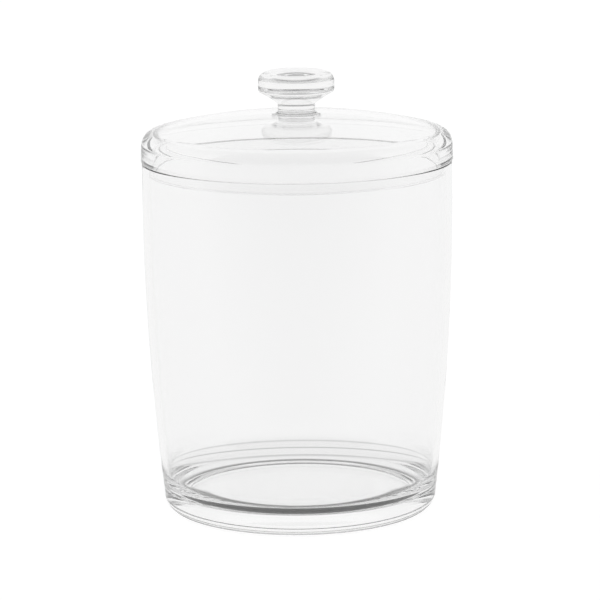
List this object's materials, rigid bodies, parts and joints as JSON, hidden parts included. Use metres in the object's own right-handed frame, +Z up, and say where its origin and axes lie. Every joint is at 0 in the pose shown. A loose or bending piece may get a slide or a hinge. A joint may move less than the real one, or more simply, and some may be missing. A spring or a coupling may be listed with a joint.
{
  "type": "storage canister",
  "caption": "Clear plastic storage canister with a gently drawn-in wall, a thick rounded base and a lift-off domed lid with a solid round knob",
  "frame": {"origin": "centre of the base, on the surface that the canister stands on", "axes": "Z up along the axis that every piece is turned about; X to the right as the picture shows it, Y away from the camera"},
  "size_m": [0.161, 0.161, 0.2293],
  "materials": {
    "clear_body": "polished clear moulding",
    "clear_lid": "polished clear moulding",
    "clear_knob": "polished clear solid moulding"
  },
  "bodies": {
    "canister": {"canister": "clear_body"},
    "lid": {"lid": "clear_lid", "knob": "clear_knob"}
  },
  "joints": [
    {"name": "lid_lift", "type": "slide", "parent": "canister", "child": "lid", "axis": [0, 0, 1], "range_m": [0, 0.1]}
  ]
}
